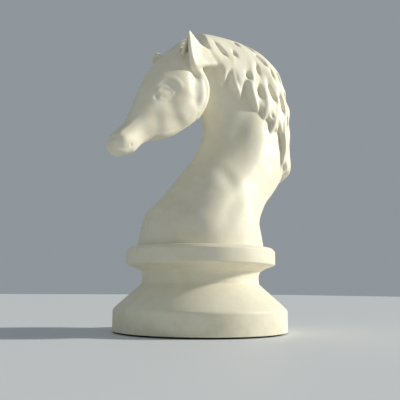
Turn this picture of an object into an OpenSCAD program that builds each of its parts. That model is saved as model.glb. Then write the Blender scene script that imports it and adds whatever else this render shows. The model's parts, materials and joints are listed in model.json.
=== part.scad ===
// Giant lawn chess knight: sand-weighted turned base, hollow horse figure
// in two halves that screws onto it. Origin at the centre of the underside,
// +Z up, the horse looks along -Y, its left side is +X.

/* [Base] */
// Outer radius of the plinth
base_r = 197; // [194:0.5:200]
// Height of the plinth's straight side above the floor
plinth_h = 46; // [42:1:50]
// Radius of the waist under the collar
waist_r = 133; // [130:0.5:136]
// Outer radius of the collar
collar_r = 171; // [168:0.5:174]
// Gap between the floor and the lower rim of the base shell
rim_gap = 3; // [2:0.5:4]
// Number of screws around the base plate
plate_screws = 8; // [6:1:12]

/* [Figure] */
// Outer radius of the figure's round foot
foot_r = 146; // [145:0.25:147]
// Wall thickness of the two figure halves
wall = 5; // [4:0.25:6]
// Half the gap left between the two halves at the seam
seam_gap = 0.1; // [0.05:0.05:0.3]
// Sideways stretch of the neck and head
width_k = 1; // [0.97:0.01:1.04]
// Half the distance between the tips of the ears
ear_spread = 63; // [60:0.5:66]
// Height of the ear tips above the floor
ear_top = 673; // [668:1:678]

/* [Screw joint] */
// Rise of the figure for one full turn
lead = 30; // [27:1:33]
// Number of thread starts on the figure's spigot
starts = 3; // [3:1:3]
// Outer radius of the plain spigot
spigot_r = 90; // [89:0.25:90]
// Inner radius of the threaded ring's bore
socket_r = 96; // [96:0.25:97]

/* [Fill plug] */
// Distance of the plug's axis behind the centre
plug_y = 95; // [90:1:100]
// Drop of the plug for one full turn
plug_lead = 6; // [5.5:0.25:6.5]

/* [Hidden] */
ivory = [0.93, 0.90, 0.78];
steel = [0.66, 0.67, 0.69];
dark = [0.16, 0.16, 0.17];
collar_top = 187;
tube_y = 62;
// Radius of the disc inside the figure's foot
disc_r = foot_r - wall - 3.9;
// Angles of the screws that hold the foot disc, kept clear of the seam
foot_angles = [-60, 0, 60, 120, 180, 240];
// Seam screw and dowel places: [y, z]
seam_pts = [[-125, 247], [-60, 332], [-141, 561], [143, 667], [234, 509], [187, 336]];
// Depth of each screw's cap from the seam
cap_depth = [46, 30, 24, 20, 24, 35];
dowel_pts = [[-97, 292], [19, 449], [-174, 487], [217, 592]];

// ---------- curves and lofts ----------
// Catmull-Rom value between rows p1 and p2 at t
function cr(p0, p1, p2, p3, t) =
  0.5 * (2*p1 + (p2 - p0)*t + (2*p0 - 5*p1 + 4*p2 - p3)*t*t + (3*p1 - p0 - 3*p2 + p3)*t*t*t);
// Row i of a table with the ends repeated
function row(T, i) = T[max(0, min(len(T) - 1, i))];
// Table T refined to k rows for each step
function fine(T, k) = concat(
  [for (i = [0:len(T) - 2], j = [0:k - 1])
    cr(row(T, i-1), row(T, i), row(T, i+1), row(T, i+2), j/k)],
  [T[len(T) - 1]]);

// Spine table of chest, neck and head. Each row is one oval section:
// [front y, front z, back y, back z, half width, widest point towards front]
spine = [
  [-foot_r, 187.4, foot_r, 187.4, foot_r, 0],
  [-144, 206, 141, 206, 143.5, 0],
  [-141, 226, 139, 226, 141, 0],
  [-138, 246, 141, 246, 139, 0],
  [-134, 260, 147, 264, 137, 0],
  [-122, 278, 158, 286, 132, 0],
  [-98, 300, 174, 308, 125, 0],
  [-72, 330, 200, 336, 113, 0],
  [-46, 362, 226, 368, 101, 0],
  [-26, 390, 236, 398, 93, 0],
  [-8, 418, 242, 432, 85, 0],
  [6, 446, 246, 472, 78, 0],
  [12, 468, 247, 512, 71, 0],
  [12, 484, 243, 554, 66, 0],
  [6, 494, 229, 598, 62, 0],
  [-3, 500, 201, 642, 60, 0],
  [-12, 503, 152, 676, 58, 0],
  [-21, 503, 92, 692, 57, 0.06],
  [-30, 500, 34, 694, 56, 0.1],
  [-38, 496, -16, 688, 56, 0.14],
  [-46, 490, -62, 672, 56, 0.16],
  [-56, 482, -102, 646, 55, 0.16],
  [-68, 472, -130, 610, 53, 0.14],
  [-84, 460, -148, 572, 49, 0.1],
  [-102, 447, -166, 534, 43, 0.05],
  [-122, 434, -183, 496, 36, 0],
  [-142, 421, -200, 462, 30, 0],
  [-160, 408, -218, 436, 28, 0],
  [-176, 396, -234, 418, 29, 0],
  [-190, 387, -243, 404, 27, 0],
  [-204, 382, -243, 391, 20, 0],
  [-216, 381, -236, 385, 9, 0]];

// Point of an oval section at angle t (0 at its back, 180 at its front),
// moved outwards by off
function oval_pt(r, off, t) =
  let (dy = r[2] - r[0], dz = r[3] - r[1], L = sqrt(dy*dy + dz*dz),
       a = max(0.5, L/2 + off), b = max(0.5, r[4]*width_k + off),
       q = cos(t) - r[5]*pow(sin(t), 2))
  [b*sin(t), (r[0] + r[2])/2 + a*q*dy/L, (r[1] + r[3])/2 + a*q*dz/L];

// Points of one whole oval section in n sides
function oval(r, off, n) = [for (j = [0:n - 1]) oval_pt(r, off, 360*j/n)];

// Row of the spine table at any position x along it
function at(x) = let (i = min(floor(x), len(spine) - 2))
  cr(row(spine, i-1), row(spine, i), row(spine, i+1), row(spine, i+2), x - i);

// Soft swelling of the skin: cheeks, brows and nostrils at position x, angle t
function bump(x, t) = let (a = abs(t))
    10*exp(-pow((x - 20.2)/1.5, 2) - pow((a - 128)/30, 2))
  + 4*exp(-pow((x - 22.6)/0.6, 2) - pow((a - 44)/16, 2))
  + 4*exp(-pow((x - 28.3)/0.8, 2) - pow((a - 50)/24, 2));

// Closed skin through a list of rings that all have n points
module skin(rings, n) {
  m = len(rings);
  polyhedron(
    points = [for (g = rings, p = g) p],
    faces = concat(
      [[for (j = [0:n - 1]) j]],
      [for (i = [0:m - 2], j = [0:n - 1]) let (a = i*n + j, b = i*n + (j + 1)%n) [a, a + n, b]],
      [for (i = [0:m - 2], j = [0:n - 1]) let (a = i*n + j, b = i*n + (j + 1)%n) [b, a + n, b + n]],
      [[for (j = [n - 1:-1:0]) (m - 1)*n + j]]),
    convexity = 8);
}

// Solid horse of chest, neck and head, grown by off; last rows may be dropped
module horse(off, n, k, drop) {
  T = fine(spine, k);
  rings = [for (i = [0:len(T) - 1 - drop]) oval(T[i], off, n)];
  skin(rings, n);
}

// Straight pin along X at [y, z]
module xpin(p, x0, x1, r, f) {
  translate([x0, p[0], p[1]]) rotate([0, 90, 0]) cylinder(r = r, h = x1 - x0, $fn = f);
}

// One helical ridge made of short wedges; prof is its [r, z] outline
module ridge(prof, lead, z0, turns, seg) {
  n = round(turns*seg);
  for (i = [0:n - 1]) hull() for (k = [0, 1])
    rotate([0, 0, 360*(i + k)/seg]) translate([0, 0, z0 + lead*(i + k)/seg])
      rotate([90, 0, 0]) linear_extrude(height = 0.05, center = true) polygon(prof);
}

// ---------- base ----------
module base_shell() {
  color(ivory) difference() {
    rotate_extrude($fn = 144) polygon(concat(
      [[base_r, rim_gap], [base_r, plinth_h]],
      [for (t = [15:15:60]) [base_r - 10 + 10*cos(t), plinth_h + 14*sin(t)]],
      [[158, 86], [146, 97], [138, 104], [waist_r + 1, 109], [waist_r, 114], [waist_r, 124],
       [waist_r + 1, 129], [135, 132], [138.5, 137], [149, 142], [165, 147.5],
       [collar_r - 2, 149.5], [collar_r, 153], [collar_r, 178], [collar_r - 1.5, 182],
       [collar_r - 5, 185.5], [collar_r - 10, collar_top],
       [104, collar_top], [104, collar_top - 5],
       [159, collar_top - 5], [163.5, 178], [163.5, 154], [147, 148], [134, 142], [129, 134],
       [127.5, 124], [127.5, 114], [130, 106], [140, 95], [153.5, 81.5], [base_r - 10, 55],
       [base_r - 6, plinth_h], [base_r - 6, 27], [base_r - 20, 27], [base_r - 20, 13.1],
       [base_r - 5, 13.1], [base_r - 5, rim_gap]]));
    for (a = [0:60:300]) rotate([0, 0, a + 30]) translate([114, 0, 0]) {
      translate([0, 0, collar_top - 6]) cylinder(r = 2.8, h = 8, $fn = 24);
      translate([0, 0, collar_top - 2.6]) cylinder(r = 5.4, h = 4, $fn = 24);
    }
    for (i = [0:plate_screws - 1]) rotate([0, 0, 360*i/plate_screws + 22.5])
      translate([base_r - 12, 0, 12]) cylinder(r = 2.1, h = 12, $fn = 24);
  }
}

module socket_ring() {
  ow = socket_r + 6;
  color([0.30, 0.31, 0.33]) union() {
    difference() {
      union() {
        translate([0, 0, 134]) cylinder(r = ow, h = 47.6, $fn = 48);
        translate([0, 0, 175]) cylinder(r = 124, h = 6.6, $fn = 48);
      }
      translate([0, 0, 133]) cylinder(r = socket_r, h = 60, $fn = 48);
      for (a = [0:60:300]) rotate([0, 0, a + 30]) translate([114, 0, 174])
        cylinder(r = 2.4, h = 9, $fn = 8);
    }
    for (a = [0:360/starts:359]) rotate([0, 0, a])
      ridge([[socket_r + 1.4, -2.6], [socket_r + 1.4, 2.6], [socket_r - 2.4, 1.5], [socket_r - 2.4, -1.5]],
        lead, 141, 0.5, 24);
  }
}

// Countersunk screw pointing down from z
module csk(z, head_r, shank_r, L) {
  rotate_extrude($fn = 32) polygon([[0, z], [head_r, z], [head_r, z - 0.8],
    [shank_r, z - 0.8 - (head_r - shank_r)*0.6], [shank_r, z - L + 1], [shank_r - 1, z - L], [0, z - L]]);
}

module socket_ring_screws() {
  color(steel) for (a = [0:60:300]) rotate([0, 0, a + 30]) translate([114, 0, 0])
    rotate_extrude($fn = 32) polygon([[0, 186.8], [5, 186.8], [5, 184.5], [2.05, 184.5],
      [2.05, 171], [1, 170], [0, 170]]);
}

module base_plate() {
  color([0.24, 0.25, 0.26]) difference() {
    union() {
      translate([0, 0, 8]) cylinder(r = base_r - 5.5, h = 5, $fn = 144);
      translate([0, plug_y, 12]) cylinder(r = 40, h = 13, $fn = 64);
    }
    translate([0, plug_y, 7]) cylinder(r = 34, h = 20, $fn = 64);
    for (i = [0:plate_screws - 1]) rotate([0, 0, 360*i/plate_screws + 22.5])
      translate([base_r - 12, 0, 7]) cylinder(r = 2.6, h = 8, $fn = 24);
    for (a = [0:60:300]) rotate([0, 0, a]) translate([150, 0, 7]) cylinder(r = 2.1, h = 8, $fn = 24);
  }
}

module base_plate_screws() {
  color(steel) for (i = [0:plate_screws - 1]) rotate([0, 0, 360*i/plate_screws + 22.5])
    translate([base_r - 12, 0, 0]) rotate_extrude($fn = 32)
      polygon([[0, 5.2], [4, 5.2], [5, 6.2], [5, 7.95], [2.05, 7.95], [2.05, 22], [1, 23], [0, 23]]);
}

module foot_pad() {
  rotate_extrude($fn = 48) polygon([[0, 0], [16, 0], [17.5, 1.5], [18, 7.95], [0, 7.95]]);
}

module rubber_feet() {
  color(dark) {
    foot_pad();
    for (a = [0:60:300]) rotate([0, 0, a]) translate([150, 0, 0]) difference() {
      foot_pad();
      translate([0, 0, -1]) cylinder(r = 2.4, h = 12, $fn = 24);
      translate([0, 0, -1]) cylinder(r = 5.6, h = 4.4, $fn = 24);
    }
  }
}

module feet_screws() {
  color(steel) for (a = [0:60:300]) rotate([0, 0, a]) translate([150, 0, 0])
    rotate_extrude($fn = 32) polygon([[0, 1.2], [4.4, 1.2], [5, 1.8], [5, 3.35], [2, 3.35], [2, 11.6], [1, 12.6], [0, 12.6]]);
}

module plug_bush() {
  color([0.30, 0.31, 0.33]) translate([0, plug_y, 0]) union() {
    difference() {
      translate([0, 0, 8.1]) cylinder(r = 33.5, h = 17, $fn = 32);
      translate([0, 0, 7]) cylinder(r = 26, h = 30, $fn = 32);
    }
    ridge([[27.2, -1.4], [27.2, 1.4], [23.9, 0.7], [23.9, -0.7]], plug_lead, 10.5, 1.75, 12);
  }
}

module sand_ballast() {
  color([0.76, 0.66, 0.46]) difference() {
    rotate_extrude($fn = 96) polygon([[0, 13.5], [base_r - 20.5, 13.5], [base_r - 20.5, 27.5],
      [base_r - 6.5, 27.5], [base_r - 6.5, plinth_h - 0.5], [base_r - 10.6, 54.2],
      [152.6, 81], [143, 91], [0, 91]]);
    translate([0, plug_y, 12]) cylinder(r = 42, h = 18, $fn = 64);
    for (i = [0:plate_screws - 1]) rotate([0, 0, 360*i/plate_screws + 22.5])
      translate([base_r - 12, 0, 12]) cylinder(r = 4, h = 18, $fn = 24);
  }
}

// ---------- screw joint ----------
module collar_gasket() {
  color(dark) rotate_extrude($fn = 96) polygon([[105, 187.15], [138, 187.15], [138, 189.1], [105, 189.1]]);
}

module figure_foot() {
  color([0.80, 0.78, 0.70]) difference() {
    rotate_extrude($fn = 96) polygon([
      [0, 189.3], [spigot_r - 8, 189.3], [spigot_r - 8, 138], [spigot_r - 2, 138], [spigot_r, 140],
      [spigot_r, 189.3], [disc_r, 189.3], [disc_r, 197.3], [30, 197.3], [0, 197.3]]);
    translate([0, tube_y, 191.3]) cylinder(r = 21.2, h = 10, $fn = 48);
    for (a = foot_angles) rotate([0, 0, a]) translate([122, 0, 0]) {
      translate([0, 0, 188]) cylinder(r = 2.6, h = 12, $fn = 24);
      translate([0, 0, 188]) cylinder(r = 5.5, h = 4, $fn = 24);
    }
  }
}

module spigot_thread_ring() {
  r0 = spigot_r + 0.35;
  color([0.30, 0.31, 0.33]) difference() {
    union() {
      translate([0, 0, 142]) cylinder(r = r0 + 1.4, h = 46.9, $fn = 48);
      for (a = [0:360/starts:359]) rotate([0, 0, a])
        ridge([[r0 + 0.8, -2.4], [r0 + 0.8, 2.4], [r0 + 3.8, 1.4], [r0 + 3.8, -1.4]],
          lead, 146, 0.5, 16);
    }
    translate([0, 0, 141]) cylinder(r = r0, h = 60, $fn = 48);
  }
}

module figure_foot_screws() {
  color(steel) for (a = foot_angles) rotate([0, 0, a]) translate([122, 0, 0])
    rotate_extrude($fn = 32) polygon([[0, 189.5], [4.4, 189.5], [5, 190.1], [5, 191.9],
      [2.05, 191.9], [2.05, 208], [1, 209], [0, 209]]);
}

// ---------- figure ----------
// Places of the sections of a figure half along the spine table
half_at = concat([0, 0.6, 0.62, 1.2, 1.24, 1.6], [for (i = [4:56]) i/2], [28.5, 29, 29.5, 30, 30.5, 31]);
// Wall thickness at x: a ledge over the foot disc, else the plain wall
function wall_at(x) = x > 0.61 && x < 1.22 ? 34 : wall;
// Depth of the flange inside the seam; none beside the foot disc
function flange_at(x) = x < 0.61 ? 0 : x < 1.22 ? 35 : 19;

// One section of the left half, as a closed loop of 2n + 8 points
function half_loop(x, n) =
  let (r = at(x), e = seam_gap/2, solid = x > 28.2, w = -wall_at(x), f = -flange_at(x),
       bi = max(1, r[4]*width_k + w), tf = f == 0 ? 1 : asin(min(0.9, 7/bi)),
       lo = tf, hi = 180 - tf,
       q = function(t) let (v = solid ? oval_pt(r, -4, t) : oval_pt(r, w, t)) [solid ? e : max(e, v[0]), v[1], v[2]])
  concat(
    [for (j = [0:n]) let (t = 180*j/n, v = oval_pt(r, bump(x, t), t)) [max(e, v[0]), v[1], v[2]]],
    solid ? [for (t = [180, 178, 176]) let (v = oval_pt(r, -3 + (t - 180)*0.2, 180)) [e, v[1], v[2]]]
    : f == 0 ? [let (v = q(180)) [e, v[1], v[2]], q(179.7), q(179.4)]
    : let (v = oval_pt(r, f, 180), u = q(hi)) [[e, v[1], v[2]], [7, v[1], v[2]], [7, (v[1] + u[1])/2, (v[2] + u[2])/2]],
    [for (j = [n:-1:0]) q(lo + (hi - lo)*j/n)],
    solid ? [for (t = [4, 2, 0]) let (v = oval_pt(r, -3 - t*0.2, 0)) [e, v[1], v[2]]]
    : f == 0 ? [q(0.6), q(0.3), let (v = q(0)) [e, v[1], v[2]]]
    : let (v = oval_pt(r, f, 0), u = q(lo)) [[7, (v[1] + u[1])/2, (v[2] + u[2])/2], [7, v[1], v[2]], [e, v[1], v[2]]]);

module half_skin(s, n) {
  w = 2*n + 8;
  m = len(half_at) - 1;
  k = n/2;
  o = m*w;
  chord = concat([n], [for (j = [n + 1:w - 1]) j], [0]);
  tri = concat(
    // lower edge
    [for (j = [0:n - 1]) [j, j + 1, w - 4 - j]],
    [for (j = [0:n - 1]) [j + 1, w - 5 - j, w - 4 - j]],
    [for (j = [0:2]) [n, n + 1 + j, n + 2 + j]],
    [for (j = [0:2]) [0, w - 2 - j, w - 1 - j]],
    // end at the lips
    [for (j = [0:len(chord) - 2]) [o + k, o + chord[j + 1], o + chord[j]]],
    [for (j = [k:n - 2]) [o + n, o + j + 1, o + j]],
    [for (j = [1:k - 1]) [o, o + j + 1, o + j]],
    // sides
    [for (i = [0:m - 1], j = [0:w - 1], q = [0, 1])
      let (a = i*w + j, b = i*w + (j + 1)%w, c = b + w, d = a + w) q == 0 ? [a, c, b] : [a, d, c]]);
  polyhedron(
    points = [for (x = half_at) for (v = half_loop(x, n)) [s*v[0], v[1], v[2]]],
    faces = s < 0 ? tri : [for (f = tri) [f[0], f[2], f[1]]],
    convexity = 12);
}

module figure_half(s) {
  difference() {
    half_skin(s, 16);
    for (p = seam_pts) xpin(p, -20, 20, 2.3, 16);
    for (p = dowel_pts) xpin(p, -20, 20, 3.2, 16);
    // wells through which the seam screws are driven
    if (s < 0) for (p = seam_pts) xpin(p, -200, -7.1, 6.4, 24);
    for (a = foot_angles) if (s*cos(a) > 0) rotate([0, 0, a]) translate([122, 0, 190])
      cylinder(r = 2.3, h = 30, $fn = 16);
    // socket for the ear's peg
    ear_peg(s, 5.4);
  }
}

module figure_shell_left() { color(ivory) figure_half(1); }
module figure_shell_right() { color(ivory) figure_half(-1); }

// Peg of an ear, radius r
module ear_peg(s, r) {
  translate([s*38, -50, 616]) rotate([0, s*14, 0]) cylinder(r = r, h = 42, $fn = 16);
}

// Cupped leaf: its root runs round a curve from the front inner edge, behind
// the peg, to the front outer edge, and every part tapers to the tip
module ear(s) {
  root = [[30, -66, 664], [32, -54, 668], [38, -44, 668], [46, -38, 664], [54, -38, 656],
          [60, -46, 648], [62, -58, 640], [60, -70, 632], [56, -80, 624]];
  union() {
    difference() {
      for (i = [0:7]) hull() {
        translate([s*root[i][0], root[i][1], root[i][2]]) sphere(r = 3.4, $fn = 8);
        translate([s*root[i+1][0], root[i+1][1], root[i+1][2]]) sphere(r = 3.4, $fn = 8);
        translate([s*ear_spread, -84, ear_top - 2]) sphere(r = 2, $fn = 6);
      }
      horse(1.2, 32, 2, 0);
    }
    ear_peg(s, 4.6);
    hull() {
      translate([s*46, -51, 650]) sphere(r = 7, $fn = 8);
      translate([s*47, -36, 666]) sphere(r = 3.4, $fn = 8);
    }
  }
}

module left_ear() { color(ivory) ear(1); }
module right_ear() { color(ivory) ear(-1); }

// Thickness of the mane at u (0 at the withers, 1 between the ears) and at
// angle t across the crest, with four soft locks to each side
function mane_th(u, t) =
  let (w = min(1, 9*u + 0.25)*min(1, 5*(1 - u) + 0.55), k = t/mane_reach(u))
  1.6 + 22*w*pow(max(0, 1 - k*k), 0.6)*(1 + 0.16*sin(900*u + 3*abs(t)));
// Angle that the mane reaches down each side, scalloped by the lock tips
function mane_reach(u) = 44 + 46*sin(180*min(1, u*0.62 + 0.12)) + 7*sin(1260*u);

module mane_crest() {
  T = fine(spine, 2);
  i0 = 17;
  m = 21;
  n = 14;
  w = 2*(n + 1);
  color(ivory) polyhedron(
    points = [for (i = [0:m]) let (u = i/m, r = T[i0 + i], g = mane_reach(u))
      each concat(
        [for (j = [0:n]) let (t = g*(2*j/n - 1)) oval_pt(r, mane_th(u, t), t)],
        [for (j = [n:-1:0]) oval_pt(r, 1.2, g*(2*j/n - 1))])],
    faces = concat(
      [for (j = [0:n - 1], q = [0, 1]) let (a = j, b = j + 1, c = w - 2 - j, d = w - 1 - j)
        q == 0 ? [a, c, b] : [a, d, c]],
      [for (j = [0:n - 1], q = [0, 1]) let (o = m*w, a = o + j, b = o + j + 1, c = o + w - 2 - j, d = o + w - 1 - j)
        q == 0 ? [a, b, c] : [a, c, d]],
      [for (i = [0:m - 1], j = [0:w - 1], q = [0, 1]) let (a = i*w + j, b = i*w + (j + 1)%w, c = b + w, d = a + w)
        q == 0 ? [a, b, c] : [a, c, d]]),
    convexity = 10);
}

module neck_tube() {
  color([0.62, 0.63, 0.66]) translate([0, tube_y, 0]) difference() {
    translate([0, 0, 191.6]) cylinder(r = 20.8, h = 400, $fn = 48);
    translate([0, 0, 190]) cylinder(r = 18.3, h = 410, $fn = 48);
  }
}

// Foam block that keeps the tube from rattling in the neck
module tube_packing() {
  color([0.35, 0.36, 0.38]) translate([0, 0, 446]) linear_extrude(height = 24) difference() {
    polygon([for (a = [0:15:345]) [60*cos(a), 126 + 86*sin(a)]]);
    translate([0, tube_y]) circle(r = 21, $fn = 48);
  }
}

module seam_screws() {
  color(steel) for (p = seam_pts) translate([0, p[0], p[1]]) rotate([0, 90, 0])
    rotate_extrude($fn = 32) polygon([[0, -11.4], [3.2, -11.4], [4.6, -10.2], [4.6, -7.2], [2, -7.2], [2, 9], [1, 10], [0, 10]]);
}

// Plugs that close the screws' wells, one at each depth of skin
module screw_caps() {
  color(ivory) for (i = [0:len(seam_pts) - 1])
    translate([-cap_depth[i], seam_pts[i][0], seam_pts[i][1]]) rotate([0, 90, 0])
      rotate_extrude($fn = 32) polygon([[0, 0], [5.2, 0], [6, 0.8], [6, 8], [0, 8]]);
}

module seam_dowels() {
  color([0.55, 0.42, 0.26]) for (p = dowel_pts) translate([0, p[0], p[1]]) rotate([0, 90, 0])
    rotate_extrude($fn = 32) polygon([[0, -6.6], [2.2, -6.6], [3, -5.8], [3, 5.8], [2.2, 6.6], [0, 6.6]]);
}

// ---------- fill plug ----------
module plug_seal() {
  color(dark) translate([0, plug_y, 0]) rotate_extrude($fn = 48)
    polygon([[26.2, 6.3], [31.5, 6.3], [31.5, 7.8], [26.2, 7.8]]);
}

module fill_plug() {
  color(dark) translate([0, plug_y, 0]) union() {
    difference() {
      union() {
        translate([0, 0, 2.6]) cylinder(r = 32, h = 3.6, $fn = 32);
        translate([0, 0, 3]) cylinder(r = 22.6, h = 21.6, $fn = 32);
      }
      difference() {
        translate([0, 0, 2]) cylinder(r = 19, h = 16, $fn = 24);
        translate([0, 0, 10]) cube([8, 60, 30], center = true);
      }
    }
    ridge([[22, -1.4], [22, 1.4], [24.9, 0.7], [24.9, -0.7]], plug_lead, 13.5, 1.25, 12);
  }
}

base_shell();
socket_ring();
socket_ring_screws();
base_plate();
base_plate_screws();
rubber_feet();
feet_screws();
plug_bush();
sand_ballast();
collar_gasket();
figure_foot();
spigot_thread_ring();
figure_foot_screws();
figure_shell_left();
figure_shell_right();
mane_crest();
left_ear();
right_ear();
neck_tube();
tube_packing();
seam_screws();
screw_caps();
seam_dowels();
plug_seal();
fill_plug();
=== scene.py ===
"""Giant lawn chess knight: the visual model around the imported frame."""
import json

import bpy
import numpy as np
from mathutils import Matrix, Vector


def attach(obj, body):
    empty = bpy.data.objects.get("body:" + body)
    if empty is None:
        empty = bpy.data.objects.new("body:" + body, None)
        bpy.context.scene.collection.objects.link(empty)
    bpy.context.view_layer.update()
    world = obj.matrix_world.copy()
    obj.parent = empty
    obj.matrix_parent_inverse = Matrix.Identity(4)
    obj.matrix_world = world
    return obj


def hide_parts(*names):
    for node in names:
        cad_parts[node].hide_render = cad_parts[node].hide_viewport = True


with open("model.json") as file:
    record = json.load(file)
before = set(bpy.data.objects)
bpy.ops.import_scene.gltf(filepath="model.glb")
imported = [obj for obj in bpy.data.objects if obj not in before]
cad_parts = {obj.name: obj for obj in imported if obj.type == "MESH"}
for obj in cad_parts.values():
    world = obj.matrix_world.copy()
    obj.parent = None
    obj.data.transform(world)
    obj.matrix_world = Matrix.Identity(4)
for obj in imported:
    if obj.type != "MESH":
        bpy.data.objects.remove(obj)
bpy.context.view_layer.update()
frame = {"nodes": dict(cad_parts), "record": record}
NODE = frame["nodes"]
MM = 0.001

# ------------------------------------------------------------------ camera
# Standing to the front left of the horse, low, looking slightly up.
AZ, DIST, EYE = np.radians(55.0), 1290.0, 92.9
PITCH, ROLL = np.radians(9.23), np.radians(0.5)
cam_pos = np.array([np.sin(AZ) * DIST, -np.cos(AZ) * DIST, EYE])
pan = 0.0
fwd0 = np.array([-np.sin(AZ), np.cos(AZ), 0.0])
right0 = np.array([np.cos(AZ), np.sin(AZ), 0.0])
up0 = np.array([0.0, 0.0, 1.0])
for _ in range(6):
    f = fwd0 * np.cos(pan) + right0 * np.sin(pan)
    r = right0 * np.cos(pan) - fwd0 * np.sin(pan)
    F = f * np.cos(PITCH) + up0 * np.sin(PITCH)
    U = up0 * np.cos(PITCH) - f * np.sin(PITCH)
    d = -cam_pos
    x, y, z = d @ r, d @ U, d @ F
    u = 200 + 555.6 * (x * np.cos(ROLL) + y * np.sin(ROLL)) / z
    pan += (u - 199.85) / 555.6
right = r * np.cos(ROLL) + U * np.sin(ROLL)
upv = -r * np.sin(ROLL) + U * np.cos(ROLL)
cam_data = bpy.data.cameras.new("camera")
cam_data.lens, cam_data.sensor_width = 50.0, 36.0
cam_data.clip_start, cam_data.clip_end = 0.05, 50
cam = bpy.data.objects.new("camera", cam_data)
bpy.context.scene.collection.objects.link(cam)
m = Matrix.Identity(4)
for i in range(3):
    m[i][0], m[i][1], m[i][2], m[i][3] = right[i], upv[i], -F[i], cam_pos[i] * MM
cam.matrix_world = m
bpy.context.scene.camera = cam

# ------------------------------------------------------------------ sculpted horse (millimetres)
VOXEL = 2.0  # pitch of the sculpt

FOOT = 187.4         # height of the figure's lower rim


def spline(pts, n, closed=False):
    """Catmull-Rom line through pts (any number of columns), n steps between neighbours."""
    P = np.asarray(pts, float)
    m = len(P)
    idx = (lambda i: i % m) if closed else (lambda i: min(max(i, 0), m - 1))
    t = (np.arange(n) / n)[:, None]
    out = []
    for i in range(m if closed else m - 1):
        a, b, c, d = P[idx(i - 1)], P[idx(i)], P[idx(i + 1)], P[idx(i + 2)]
        out.append(0.5 * (2 * b + (c - a) * t + (2 * a - 5 * b + 4 * c - d) * t**2 + (3 * b - a - 3 * c + d) * t**3))
    if not closed:
        out.append(P[-1:])
    return np.vstack(out)


def outline_distance(poly, Y, Z):
    """Distance to a closed outline, negative inside."""
    best = np.full(Y.shape, 1e9)
    inside = np.zeros(Y.shape, bool)
    Q = np.roll(poly, -1, 0)
    for (y0, z0), (y1, z1) in zip(poly, Q):
        ey, ez = y1 - y0, z1 - z0
        L = ey * ey + ez * ez
        if L < 1e-9:
            continue
        t = np.clip(((Y - y0) * ey + (Z - z0) * ez) / L, 0, 1)
        best = np.minimum(best, (Y - y0 - t * ey) ** 2 + (Z - z0 - t * ez) ** 2)
        if z0 != z1:
            cross = ((z0 > Z) != (z1 > Z)) & (Y < (y1 - y0) * (Z - z0) / (z1 - z0) + y0)
            inside ^= cross
    d = np.sqrt(best)
    return np.where(inside, -d, d)


def blend_field(table, Y, Z, sigma):
    """Smooth field through control values [y, z, value]."""
    T = np.asarray(table, float)
    d2 = np.stack([((Y - y) ** 2 + (Z - z) ** 2) / (2 * sigma**2) for y, z, _ in T])
    w = np.exp(-(d2 - d2.min(0)))
    return (w * T[:, 2][:, None, None]).sum(0) / w.sum(0)


def inflate(D, a, b, p, X, soften):
    """Solid whose side outline is D = 0: oval sections of half width b, edges that roll over a distance a.
    soften is a blur that takes out the crease along the middle of the outline."""
    u = np.clip(1 + D / a, 0, None)
    up = u**p
    t = np.clip((1 - u) / 0.16 - 0.2, 0, 1)
    t = t * t * (3 - 2 * t)
    up = up * (1 - t) + soften(up, 1) * t
    t = np.clip((1 - u) / 0.45 - 0.35, 0, 1)
    t = t * t * (3 - 2 * t)
    up = up * (1 - t) + soften(up, 6) * t
    u = np.maximum(up, 1e-9) ** (1.0 / p)
    u = u[None]
    ax = np.abs(X) / b[None]
    g = np.maximum((ax**p + u**p) ** (1.0 / p), 1e-3)
    k1 = np.sqrt(((ax / g) ** (p - 1) / b[None]) ** 2 + ((u / g) ** (p - 1) / a[None]) ** 2)
    return (g - 1) / np.maximum(k1, 1e-3)


def blur(A, n):
    k = np.array([1, 4, 6, 4, 1]) / 16.0
    for _ in range(n):
        for ax in (0, 1):
            P = np.pad(A, [(2, 2) if i == ax else (0, 0) for i in (0, 1)], mode="edge")
            A = sum(w * np.take(P, np.arange(s, s + A.shape[ax]), ax) for s, w in enumerate(k))
    return A


def smin(a, b, k):
    h = np.clip(k - np.abs(a - b), 0, None) / k
    return np.minimum(a, b) - h * h * k * 0.25


NECK = [(-146, 90), (-146, 150), (-146, 188), (-145.5, 206), (-142, 226), (-137.5, 246), (-134.6, 256), (-130.6, 266),
        (-122.4, 277), (-110, 288), (-97, 300), (-87, 312), (-76, 325), (-65, 338), (-54.5, 352), (-43.5, 366),
        (-32, 380), (-21.6, 394), (-10, 410), (-1, 428), (7, 448), (11, 466), (11, 482), (6, 497), (-5, 515), (-25, 540),
        (-45, 570), (-60, 600), (-72, 630), (-70, 655), (-56, 674), (-36, 686), (-10, 691), (34, 694), (92, 693),
        (152, 677), (201, 643), (229, 598), (243, 554), (247, 512), (246, 472), (242, 432), (236, 398), (226, 366),
        (215.5, 352), (205, 338), (194, 325), (182, 312), (170, 300), (161, 288), (155, 277), (149.3, 266),
        (144.7, 256), (141, 246), (138, 226), (141, 206), (146, 188), (146, 150), (146, 90)]
NECK_A = [(0, 150, 146), (0, 190, 146), (0, 226, 141), (4, 262, 140), (-40, 290, 150), (70, 290, 122), (-30, 333, 175), (120, 333, 105),
          (0, 365, 185), (140, 365, 92), (20, 394, 190), (160, 394, 88), (30, 430, 190), (175, 430, 86), (30, 465, 190), (185, 465, 86),
          (25, 500, 185), (190, 500, 84), (20, 535, 170), (180, 535, 86), (15, 565, 150), (150, 575, 88), (70, 590, 100),
          (110, 610, 92), (35, 597, 108), (2, 597, 100), (-40, 600, 84)]
NECK_B = [(0, 150, 146), (0, 188, 146), (0, 206, 144), (0, 226, 141), (0, 246, 139), (6, 266, 136), (18, 288, 130),
          (42, 312, 122), (70, 338, 112), (90, 366, 102), (105, 394, 94), (117, 425, 86), (126, 459, 78),
          (130, 490, 72), (127, 519, 67), (118, 546, 64), (99, 571, 61), (70, 590, 58), (35, 597, 56), (2, 597, 54),
          (-40, 600, 50)]
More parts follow.
